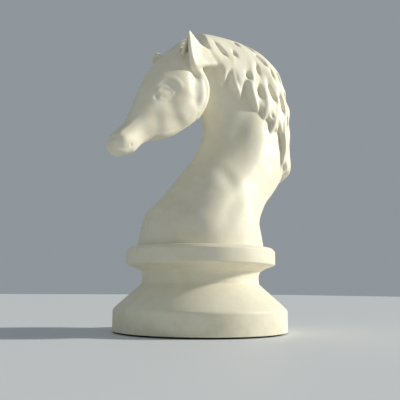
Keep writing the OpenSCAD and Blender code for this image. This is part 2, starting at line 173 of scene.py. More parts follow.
HEAD = [(-28, 486), (-23, 497), (-17, 512), (-13, 530), (-12, 548), (-15, 562), (-22, 576), (-31, 589), (-40, 603),
        (-46, 625), (-44, 650), (-38, 670), (-40, 684), (-52, 680), (-71, 667), (-93, 650), (-112, 632), (-126, 617),
        (-137, 603), (-147, 587), (-157, 568), (-167, 548), (-176, 524), (-186, 500), (-195, 477), (-201, 464),
        (-208, 451), (-218, 440), (-228, 430), (-236, 420), (-241, 411), (-244, 400), (-241, 388), (-232, 380), (-221, 377),
        (-208, 379), (-196, 384), (-186, 388), (-176, 398), (-165, 410), (-152, 418), (-138, 424), (-120, 428),
        (-103, 434), (-88, 441), (-74, 450), (-60, 460), (-46, 471), (-36, 480)]
HEAD_A = [(-30, 530, 24), (-40, 500, 24), (-70, 470, 26), (-100, 452, 26), (-130, 440, 24), (-50, 620, 50),
          (-60, 660, 60), (-90, 635, 66), (-120, 600, 62), (-145, 560, 55), (-165, 520, 46), (-182, 480, 38),
          (-80, 560, 44), (-100, 520, 42), (-130, 490, 38), (-160, 440, 28), (-195, 430, 26), (-215, 410, 26), (-235, 400, 24)]
HEAD_B = [(-25, 540, 57), (-35, 505, 54), (-60, 560, 59), (-60, 600, 56), (-60, 640, 48), (-90, 610, 54), (-95, 560, 56),
          (-85, 500, 51), (-120, 595, 50), (-128, 548, 49), (-120, 485, 44), (-110, 455, 38), (-150, 530, 44),
          (-155, 490, 38), (-150, 450, 31), (-175, 490, 33), (-182, 455, 28), (-175, 425, 24), (-203, 440, 27),
          (-190, 415, 27), (-205, 405, 31), (-218, 410, 32), (-230, 405, 28), (-200, 393, 27), (-240, 397, 22)]


def grid(vox):
    ys = np.arange(-252, 290, vox)
    zs = FOOT + (np.arange(int((742 - FOOT) / vox)) - 0.5) * vox
    xs = (np.arange(int(152 / vox)) - 0.5) * vox
    return xs, ys, zs


def body_field(xs, ys, zs):
    Y, Z = np.meshgrid(ys, zs, indexing="ij")
    X = xs[:, None, None]
    D = outline_distance(spline(NECK, 5, True), Y, Z)
    vox = xs[1] - xs[0]
    N = inflate(D, blend_field(NECK_A, Y, Z, 48), blend_field(NECK_B, Y, Z, 22), 2.0, X, lambda A, k: blur(A, int(70 * k / vox / vox)))
    DH = outline_distance(spline(HEAD, 5, True), Y, Z)
    H = inflate(DH, blend_field(HEAD_A, Y, Z, 16), blend_field(HEAD_B, Y, Z, 16), 2.3, X, lambda A, k: blur(A, int(15 * k / vox / vox)))
    return smin(N, H, 9.0), N, H


def nets(f, xs, ys, zs):
    """Quads through the zero surface of f, dual to the sample grid. The first layers in x and z are mirrors."""
    s = f < 0
    cell = np.zeros(tuple(n - 1 for n in f.shape), np.int8)
    parts = []
    for dx in (0, 1):
        for dy in (0, 1):
            for dz in (0, 1):
                parts.append(s[dx:f.shape[0] - 1 + dx, dy:f.shape[1] - 1 + dy, dz:f.shape[2] - 1 + dz])
    cell = sum(p.astype(np.int8) for p in parts)
    act = (cell > 0) & (cell < 8)
    idx = np.full(act.shape, -1, np.int64)
    ci = np.argwhere(act)
    idx[act] = np.arange(len(ci))
    acc = np.zeros((len(ci), 3))
    cnt = np.zeros(len(ci))
    i, j, k = ci.T
    for ax in range(3):
        o = [a for a in range(3) if a != ax]
        for p in (0, 1):
            for q in (0, 1):
                a = [i.copy(), j.copy(), k.copy()]
                a[o[0]] = a[o[0]] + p
                a[o[1]] = a[o[1]] + q
                b = [v.copy() for v in a]
                b[ax] = b[ax] + 1
                fa, fb = f[tuple(a)], f[tuple(b)]
                m = (fa < 0) != (fb < 0)
                t = np.where(m, fa / np.where(m, fa - fb, 1), 0)
                pos = np.stack(a, -1).astype(float)
                pos[:, ax] += t
                acc[m] += pos[m]
                cnt[m] += 1
    g = acc / cnt[:, None]
    V = np.stack([xs[0] + g[:, 0] * (xs[1] - xs[0]), ys[0] + g[:, 1] * (ys[1] - ys[0]), zs[0] + g[:, 2] * (zs[1] - zs[0])], -1)
    V[i == 0, 0] = 0.0
    V[k == 0, 2] = FOOT
    Q = []
    for ax in range(3):
        o = [(ax + 1) % 3, (ax + 2) % 3]
        sl0 = [slice(None)] * 3
        sl1 = [slice(None)] * 3
        sl0[ax] = slice(0, -1)
        sl1[ax] = slice(1, None)
        c = s[tuple(sl0)] != s[tuple(sl1)]
        e = np.argwhere(c)
        keep = (e[:, o[0]] > 0) & (e[:, o[1]] > 0) & (e[:, o[0]] < f.shape[o[0]] - 1) & (e[:, o[1]] < f.shape[o[1]] - 1)
        # edges of the mirror layers belong to the other half
        if ax == 0:
            keep &= (e[:, 2] > 0) & (e[:, 0] >= 0)
        e = e[keep]
        if ax != 0:
            e = e[e[:, 0] > 0]
        if ax != 2:
            e = e[e[:, 2] > 0]
        d0 = np.zeros(3, int); d0[o[0]] = 1
        d1 = np.zeros(3, int); d1[o[1]] = 1
        quad = np.stack([idx[tuple((e - d0 - d1).T)], idx[tuple((e - d1).T)], idx[tuple(e.T)], idx[tuple((e - d0).T)]], -1)
        flip = ~s[tuple(e.T)]
        quad[flip] = quad[flip][:, ::-1]
        Q.append(quad)
    Q = np.vstack(Q)
    assert (Q >= 0).all()
    used = np.unique(Q)
    remap = np.full(len(V), -1)
    remap[used] = np.arange(len(used))
    return V[used], remap[Q]


def untangle(f, vox):
    """Fills the sample faces whose signs form a checkerboard, so that no edge has four faces."""
    f = f.copy()
    for _ in range(4):
        n = 0
        for a, b in ((0, 1), (0, 2), (1, 2)):
            def part(da, db):
                sl = [slice(None)] * 3
                sl[a] = slice(da, f.shape[a] - 1 + da)
                sl[b] = slice(db, f.shape[b] - 1 + db)
                return f[tuple(sl)]
            q = [part(0, 0), part(0, 1), part(1, 0), part(1, 1)]
            s = [v < 0 for v in q]
            bad = (s[0] == s[3]) & (s[1] == s[2]) & (s[0] != s[1])
            n += int(bad.sum())
            for v in q:
                v[bad] = np.minimum(v[bad], -0.12 * vox)
        if not n:
            break
    return f
# ---- mane: locks painted as heights over the neck, in side view (y, z, radius, height) ----
LOCKS = [
    [(-16, 700, 13, 20), (-4, 682, 16, 19), (9, 660, 17, 17), (18, 636, 17, 16), (21, 614, 15, 15), (23, 597, 12, 12.5), (25, 584, 7, 8), (25, 575, 2, 3)],
    [(6, 712, 15, 22), (26, 694, 17, 21), (41, 670, 18, 19), (47, 642, 17, 17), (46, 616, 15, 15.5), (50, 592, 13, 14), (59, 572, 10, 12), (68, 557, 5.5, 8), (72, 547, 1.5, 3)],
    [(26, 719, 16, 23), (52, 700, 17, 22), (68, 674, 17, 19), (74, 648, 15, 16), (76, 624, 10, 12), (79, 602, 3, 6)],
    [(50, 720, 17, 23), (78, 702, 17, 23), (97, 674, 17, 21), (103, 642, 17, 18), (99, 610, 16, 17), (99, 580, 15, 15.5), (107, 552, 12.5, 14), (115, 533, 7.5, 9), (120, 520, 2, 3)],
    [(84, 716, 18, 24), (113, 699, 18, 25), (133, 671, 17, 23), (142, 640, 16, 19), (140, 608, 13, 16), (143, 579, 14, 16), (146, 550, 15, 15), (141, 524, 13, 12), (131, 504, 3, 4)],
    [(118, 709, 18, 26), (148, 691, 18, 27), (170, 662, 18, 25), (181, 630, 17, 21), (180, 600, 12, 18), (184, 570, 13, 18), (182, 540, 13, 16), (174, 514, 12, 14), (163, 492, 9, 11), (152, 474, 2, 3)],
    [(152, 700, 19, 29), (184, 678, 19, 29), (205, 648, 19, 27), (214, 616, 16, 22), (211, 586, 12, 19), (213, 554, 13, 18), (210, 520, 13, 17), (205, 490, 10, 15), (202, 462, 9, 15), (202, 436, 11, 13), (197, 412, 8, 9), (190, 392, 2, 2)],
    [(188, 684, 20, 31), (216, 658, 20, 31), (238, 622, 19, 26), (246, 588, 17, 20), (247, 556, 19, 21), (247, 524, 15, 15), (248, 490, 18, 16), (245, 460, 15, 14), (240, 430, 17, 16), (236, 404, 15, 18), (231, 388, 12, 17), (224, 374, 6, 9), (217, 362, 1.5, 2)],
    [(238, 560, 12, 16), (234, 530, 13, 15), (230, 500, 12, 14), (226, 470, 11, 14), (224, 440, 12, 13), (219, 414, 9, 11), (212, 394, 5, 7), (205, 378, 1.5, 2)],
]
SHEET = [(-24, 712), (-28, 692), (-31, 670), (-28, 650), (-14, 634), (2, 618), (11, 602), (18, 590), (26, 586), (33, 597), (41, 604),
         (48, 590), (56, 572), (66, 558), (74, 558), (79, 574), (84, 592), (89, 588), (94, 568), (104, 546), (124, 528),
         (146, 510), (166, 492), (184, 472), (194, 446), (199, 420),
         (208, 394), (220, 372), (250, 366), (300, 420), (310, 560), (280, 680), (200, 760), (90, 780), (-20, 780)]
SHEET_H = [(-14, 704, 20), (30, 706, 21), (70, 704, 21), (104, 700, 22), (135, 694, 24), (175, 676, 27), (205, 654, 28),
           (232, 616, 23), (242, 560, 17), (244, 500, 13), (238, 440, 13), (232, 394, 15), (220, 372, 8),
           (2, 672, 21), (0, 654, 18), (-22, 668, 25), (-20, 652, 22), (45, 668, 19), (90, 668, 19), (130, 664, 20), (170, 650, 22), (200, 620, 20),
           (8, 636, 16), (50, 642, 15.5), (90, 636, 15), (120, 606, 13), (150, 570, 13), (178, 540, 13), (205, 560, 15),
           (195, 480, 10), (215, 500, 12), (206, 420, 9), (110, 560, 10)]
# dimples between the locks: y, z, half length, half width, slope angle, depth
DIMPLES = [
    (17, 657, 11, 4.2, -44, 13), (4, 672, 9, 3, -40, 6), (72, 694, 6, 4, -60, 7), (54, 659, 7, 4.5, -55, 8),
    (91, 608, 8, 7, -50, 13), (125, 575, 11, 6, -80, 18), (163, 580, 15, 5, -62, 17), (204, 634, 12, 5, -65, 15),
    (199, 560, 17, 5, -78, 16), (141, 664, 15, 4.5, -40, 14), (116, 696, 11, 3.5, -35, 11), (187, 468, 24, 6, -80, 14),
    (158, 518, 6, 5, -60, 6), (226, 520, 14, 4.5, -85, 10), (222, 590, 13, 4, -75, 9), (170, 632, 12, 3.5, -70, 8),
    (122, 632, 11, 3.5, -75, 8), (232, 452, 14, 4, -85, 8), (236, 590, 10, 3.5, -80, 6)]


def capsule2(h, Y, Z, pts):
    P = spline(pts, 6)
    P[:, 2] = np.maximum(P[:, 2], 0.5)
    for a, b in zip(P[:-1], P[1:]):
        e = b[:2] - a[:2]
        L = max(e @ e, 1e-6)
        m = max(a[2], b[2]) + 4
        sel = (Y > min(a[0], b[0]) - m) & (Y < max(a[0], b[0]) + m) & (Z > min(a[1], b[1]) - m) & (Z < max(a[1], b[1]) + m)
        y, z = Y[sel], Z[sel]
        t = np.clip(((y - a[0]) * e[0] + (z - a[1]) * e[1]) / L, 0, 1)
        d2 = (y - a[0] - t * e[0]) ** 2 + (z - a[1] - t * e[1]) ** 2
        r = a[2] + t * (b[2] - a[2])
        H = a[3] + t * (b[3] - a[3])
        h[sel] = np.maximum(h[sel], H * np.sqrt(np.clip(1 - d2 / r**2, 0, None)))
    return h


def mane_map(Y, Z, vox):
    relief = np.zeros(Y.shape)
    for L in LOCKS:
        relief = capsule2(relief, Y, Z, L)
    ds = -outline_distance(spline(SHEET, 5, True), Y, Z)
    front = np.clip((Y + 22) / 60, 0, 1) + np.clip((670 - Z) / 20, 0, 1)
    t = np.clip(ds / (6 + 10 * np.clip(front, 0, 1)), 0, 1)
    sheet = blend_field(SHEET_H, Y, Z, 14) * np.sqrt(1 - (1 - t) ** 2) * (ds > 0)
    h = np.maximum(relief, sheet)
    # the combed top is smooth, and the locks part towards their ends
    w = np.clip((ds - 20) / 30, 0, 1) * np.clip((250 - Y) / 60, 0.35, 1)
    h = h + (blur(h, int(36 / vox / vox)) - h) * w * (ds > 0)
    # hollows running along the locks
    for y, z, ll, ww, ang, dep in DIMPLES:
        ll, ww, dep = ll * 1.3, ww * 0.9, dep * 0.92
        c, s = np.cos(np.radians(ang)), np.sin(np.radians(ang))
        p, q = (Y - y) * c + (Z - z) * s, -(Y - y) * s + (Z - z) * c
        h = h - dep * np.exp(-((p / ll) ** 2 + (q / ww) ** 2) * 1.1)
    h = np.where(np.maximum(relief, sheet) > 0, np.maximum(h, -1.5), 0)
    h = blur(h, 1)
    mask = (np.maximum(relief, sheet) > 0.3).astype(float)
    mask = blur(mask, max(1, int(14 / vox / vox)))
    return h, mask - 0.2


def cap3(f, X, Y, Z, pts, k, off=0.0):
    """Smooth union of f with a chain of round-ended strokes [x, y, z, r]."""
    P = spline(pts, 5)
    lo, hi = (P[:, :3] - P[:, 3:4]).min(0) - k - 6, (P[:, :3] + P[:, 3:4]).max(0) + k + 6
    si = [slice(*np.searchsorted(g, (l, u))) for g, l, u in zip((X, Y, Z), lo, hi)]
    x, y, z = X[si[0]][:, None, None], Y[si[1]][None, :, None], Z[si[2]][None, None, :]
    d = np.full((x.shape[0], y.shape[1], z.shape[2]), 1e3, np.float32)
    for a, b in zip(P[:-1], P[1:]):
        e = b[:3] - a[:3]
        L = max(e @ e, 1e-6)
        t = np.clip(((x - a[0]) * e[0] + (y - a[1]) * e[1] + (z - a[2]) * e[2]) / L, 0, 1)
        q = np.sqrt((x - a[0] - t * e[0]) ** 2 + (y - a[1] - t * e[1]) ** 2 + (z - a[2] - t * e[2]) ** 2)
        d = np.minimum(d, q - (a[3] + t * (b[3] - a[3])))
    f[tuple(si)] = smin(f[tuple(si)], d + off, k)
    return f


def leaf(f, X, Y, Z, tip, mid, root, r_tip, r_root, k, fan=True):
    """Smooth union with a leaf: a fan from the tip to the middle line, and a strip from there to the root line."""
    tip, Mi, R = np.array(tip, float), spline(mid, 3), spline(root, 3)
    tris = [(tip, a, b) for a, b in zip(Mi[:-1], Mi[1:])] if fan else []
    for a, b, c, d in zip(Mi[:-1], Mi[1:], R[:-1], R[1:]):
        tris += [(a, b, c), (b, d, c)]
    allp = np.vstack([R, Mi, tip[None]])
    lo, hi = allp.min(0) - 14, allp.max(0) + 14
    si = [slice(*np.searchsorted(g, (l, u))) for g, l, u in zip((X, Y, Z), lo, hi)]
    G = np.stack(np.meshgrid(X[si[0]], Y[si[1]], Z[si[2]], indexing="ij"), -1).reshape(-1, 3)
    run = np.clip(np.linalg.norm(G - tip, axis=-1) / 60.0, 0, 1)
    d = np.full(len(G), 1e3)
    for o, a, b in tris:
        m = np.where(np.linalg.norm(G - (o + a + b) / 3, axis=-1) < 16 + max(np.linalg.norm(a - o), np.linalg.norm(b - o), np.linalg.norm(b - a)))[0]
        if not len(m):
            continue
        u, v, w = a - o, b - o, G[m] - o
        uu, uv, vv = u @ u, u @ v, v @ v
        wu, wv = w @ u, w @ v
        den = max(uu * vv - uv * uv, 1e-9)
        s, t = (vv * wu - uv * wv) / den, (uu * wv - uv * wu) / den
        ins = (s >= 0) & (t >= 0) & (s + t <= 1)
        best = np.where(ins, np.linalg.norm(w - s[:, None] * u - t[:, None] * v, axis=-1), 1e3)
        for p, e in ((0 * u, u), (0 * u, v), (u, v - u)):
            q = w - p
            c = np.clip((q @ e) / max(e @ e, 1e-9), 0, 1)
            best = np.minimum(best, np.linalg.norm(q - c[:, None] * e, axis=-1))
        d[m] = np.minimum(d[m], best)
    d -= r_tip + (r_root - r_tip) * run
    f[tuple(si)] = smin(f[tuple(si)], d.reshape(f[tuple(si)].shape), k)
    return f


# soft swellings and hollows of the head: y, z, sigma y, sigma z, height, least x
SOFT = [
    (-84, 552, 17, 22, 4.0, 20), (-72, 518, 15, 13, 3.0, 20),        # cheek
    (-60, 548, 10, 17, -4.2, 30), (-53, 520, 10, 12, -3.4, 30), (-60, 576, 9, 10, -2.6, 30),
    (-131, 526, 15, 13, -3.0, 20), (-149, 513, 3.6, 4.2, -2.0, 15),
    (-150, 505, 14, 12, 1.5, 10),
    (-112, 500, 15, 11, -0.9, 20), (-135, 470, 18, 8, -1.2, 10), (-235, 410, 5.0, 2.8, -2.2, 6),
    (-222, 412, 10, 9, 2.4, 10), (-201, 399, 1.7, 1.7, -1.7, 10)]
RIDGE = [(120, 502, 26, 4), (112, 468, 33, 7.5), (99, 434, 37, 8.5), (76, 402, 39, 8.5), (46, 376, 39, 8), (13, 348, 39, 8),
         (-16, 322, 37, 8), (-40, 294, 35, 7.5), (-56, 264, 33, 5.5), (-63, 240, 27, 3), (-64, 219, 18, 0.8)]
BROW = [(-150, 540, 4), (-141, 552, 5.5), (-127, 559, 6), (-112, 556, 6), (-100, 546, 5)]


def details(B, xs, Y, Z):
    ax = np.abs(xs)[:, None, None]
    for y, z, sy, sz, h, x0 in SOFT:
        g = np.exp(-0.5 * (((Y - y) / sy) ** 2 + ((Z - z) / sz) ** 2))
        m = g > 0.01
        w = np.clip((ax - x0 * 0.5) / (x0 * 0.5), 0, 1)
        B[:, m] -= (h * g[m])[None] * w[:, :, 0]
    brow = capsule2(np.zeros(Y.shape), Y, Z, [(y, z, r + 3, 2.2) for y, z, r in BROW])
    brow = blur(brow, 2)
    m = brow > 0.02
    B[:, m] -= brow[m][None] * np.clip((ax - 12) / 14, 0, 1)[:, :, 0]
    # neck muscle that runs from below the mane to the shoulder, and the soft notch in it
    ridge = blur(capsule2(np.zeros(Y.shape), Y, Z, RIDGE), int(70 / (xs[1] - xs[0]) ** 2))
    ridge = ridge - 3.2 * np.exp(-0.5 * (((Y - 4) / 13) ** 2 + ((Z - 338) / 24) ** 2))
    m = np.abs(ridge) > 0.02
    w = np.clip((ax - 25) / 35, 0, 1)
    B[:, m] -= ridge[m][None] * (w * w * (3 - 2 * w))[:, :, 0]
    return B


EAR_TIP = (73, -87, 671)
EAR_TOP = [(73, -87, 671), (70, -80, 667), (66, -70, 661), (62, -58, 655), (59, -45, 650), (57, -32, 647), (56, -18, 643), (54.5, -6, 640), (53, 6, 637)]
EAR_LOW = [(79, -92, 663), (83, -93, 650), (78, -88, 634), (70, -79, 618), (62, -64, 602), (59, -44, 608), (57, -26, 614), (56, -10, 619), (54, 5, 623)]
EAR_MID = [(47, -84, 642), (44, -73, 650), (46, -63, 656), (54, -57, 658), (63, -59, 657)]
EAR_ROOT = [(38, -84, 626), (34, -70, 640), (34, -56, 650), (42, -48, 650), (56, -50, 642)]
EAR_CUT = (np.array([30.0, -66.0, 672.0]), np.array([0.623, -0.346, 0.702]))


def sculpt(vox):
    xs, ys, zs = grid(vox)
    Y, Z = np.meshgrid(ys, zs, indexing="ij")
    base, N, H = body_field(xs, ys, zs)
    B = details(base.copy(), xs, Y, Z)
    h, R = mane_map(Y, Z, vox)
    T = np.minimum(B, np.where(np.abs(h)[None] > 0, N - h[None], 1e3))
    # band from the back of the ear to the mane, the curled rear rim of the cheek, forelock
    T = cap3(T, xs, ys, zs, [(44, -62, 626, 14), (45, -44, 630, 13.5), (46, -24, 629, 12), (46, -4, 630, 11), (45, 8, 630, 8)], 9)
    T = cap3(T, xs, ys, zs, [(48, -66, 612, 9), (46, -50, 600, 10), (45, -41, 584, 10.5), (45, -36, 564, 11), (45, -34, 544, 11), (43, -36, 524, 10), (38, -42, 504, 9)], 8)
    T = cap3(T, xs, ys, zs, [(50, -62, 606, 7), (49, -46, 597, 7.5), (48, -33, 586, 7.5), (47.5, -24, 572, 7.5), (47, -20, 556, 7.5), (46, -20, 540, 7.2), (44, -24, 522, 7), (40, -30, 506, 6), (35, -38, 490, 4)], 7)
    T = cap3(T, xs, ys, zs, [(64, -74, 608, 4), (59, -66, 598, 6), (54, -56, 594, 6.5), (50, -46, 590, 6)], 9)
    T = leaf(T, xs, ys, zs, EAR_TIP, EAR_TOP, EAR_LOW, 1.8, 6.0, 9, False)
    T = leaf(T, xs, ys, zs, EAR_TIP, EAR_MID, EAR_ROOT, 1.8, 4.2, 3.5)
    # eyelids and eye
    T = cap3(T, xs, ys, zs, [(36.4, -147, 524, 2), (38.4, -141, 534, 3), (41.0, -132, 538.5, 3.4), (44.0, -122, 537, 3), (45.6, -112, 530, 1.6)], 7)
    T = cap3(T, xs, ys, zs, [(36.6, -141, 511, 1.6), (38.6, -131, 511, 2.4), (42.0, -120, 518, 2.2), (45.0, -112, 527, 1.4)], 7)
    T = cap3(T, xs, ys, zs, [(34.9, -137, 523.5, 8), (36.2, -130, 525, 9.2), (38.0, -123, 527, 8)], 6)
    for s in ([(0, -20, 683, 6), (4, -50, 684, 6), (5, -80, 660, 5), (6, -104, 638, 4), (7, -122, 617, 2)],
              [(16, -34, 679, 5), (18, -60, 672, 5), (21, -86, 648, 4.5), (23, -106, 626, 3), (24, -118, 609, 1.5)],
              [(28, -70, 657, 4.5), (30, -88, 641, 4.5), (33, -104, 621, 3.4), (34, -116, 605, 1.5)]):
        T = cap3(T, xs, ys, zs, s, 4.5)
    # strands down the back of the mane, which the photo doesn't show
    x, y, z = np.abs(xs)[:, None, None], ys[None, :, None], zs[None, None, :]
    w = np.clip((y - 140) / 50, 0, 1) * np.clip((z - 366) / 40, 0, 1)
    for x0, ph in ((8, 3.1), (22, 5.0), (37, 0.8)):
        d = (x - x0 - 5 * np.sin(z / 26 + ph)) / 3.8
        T = T + w * (3.2 + 1.6 * np.sin(z / 17 + 2 * ph)) * np.exp(-d * d)
    return xs, ys, zs, T.astype(np.float32), B.astype(np.float32), R
def sample(F, xs, ys, zs, P):
    """Trilinear value of the half-space field F (mirrored in x) at points P."""
    n = np.array(F.shape)
    g = np.stack([(np.abs(P[:, 0]) - xs[0]), P[:, 1] - ys[0], P[:, 2] - zs[0]], -1) / (xs[1] - xs[0])
    g = np.clip(g, 0, n - 1.001)
    i = g.astype(int)
    f = g - i
    out = 0
    for a in (0, 1):
        for b in (0, 1):
            for c in (0, 1):
                w = (f[:, 0] if a else 1 - f[:, 0]) * (f[:, 1] if b else 1 - f[:, 1]) * (f[:, 2] if c else 1 - f[:, 2])
                out = out + w * F[i[:, 0] + a, i[:, 1] + b, i[:, 2] + c]
    return out


def gradient(F, xs, ys, zs, P, e):
    g = []
    for ax in range(3):
        q = np.zeros(3)
        q[ax] = e
        g.append((sample(F, xs, ys, zs, P + q) - sample(F, xs, ys, zs, P - q)) / (2 * e))
    return np.stack(g, -1)


def to_level(F, xs, ys, zs, P, level, steps=5, e=2.5):
    """Moves points along the field's gradient until F = level."""
    P = P.copy()
    for _ in range(steps):
        g = gradient(F, xs, ys, zs, P, e)
        gg = np.maximum((g * g).sum(-1), 0.2)
        P -= ((sample(F, xs, ys, zs, P) - level) / gg)[:, None] * g
    return P


def vertex_normals(V, Q):
    n = np.cross(V[Q[:, 2]] - V[Q[:, 0]], V[Q[:, 3]] - V[Q[:, 1]])
    out = np.zeros_like(V)
    for k in range(4):
        np.add.at(out, Q[:, k], n)
    return out / np.maximum(np.linalg.norm(out, axis=1), 1e-9)[:, None]


def directed(Q):
    return np.vstack([Q[:, [0, 1]], Q[:, [1, 2]], Q[:, [2, 3]], Q[:, [3, 0]]])


def rim_edges(Q):
    """Directed edges of faces Q that have no partner."""
    E = directed(Q)
    n = E.max() + 1
    key, back = E[:, 0] * n + E[:, 1], E[:, 1] * n + E[:, 0]
    return E[~np.isin(key, back)]


def compact(V, Q, extra=None):
    used = np.unique(Q)
    m = np.full(len(V), -1)
    m[used] = np.arange(len(used))
    return V[used], m[Q], used


def thicken(Q, top, bottom, skip=None):
    """Closed shell between two sets of positions of the same faces."""
    used = np.unique(Q)
    m = np.full(len(top), -1)
    m[used] = np.arange(len(used))
    n = len(used)
    q = m[Q]
    E = rim_edges(q)
    V = np.vstack([top[used], bottom[used]])
    side = np.stack([E[:, 1], E[:, 0], E[:, 0] + n, E[:, 1] + n], -1)
    return V, np.vstack([q, q[:, ::-1] + n, side]), used
SEAM = [[-125, 247], [-60, 332], [-141, 561], [143, 667], [234, 509], [187, 336]]


def snap(V, Nrm, idx, value, grad, most):
    """Slides vertices along the skin onto value = 0."""
    g = grad - (grad * Nrm[idx]).sum(-1, keepdims=True) * Nrm[idx]
    gg = np.maximum((g * g).sum(-1), 1e-6)
    step = -(value / gg)[:, None] * g
    L = np.linalg.norm(step, axis=1)
    step *= np.minimum(1, most / np.maximum(L, 1e-9))[:, None]
    step[V[idx][:, 0] < 1e-6, 0] = 0
    V[idx] += step


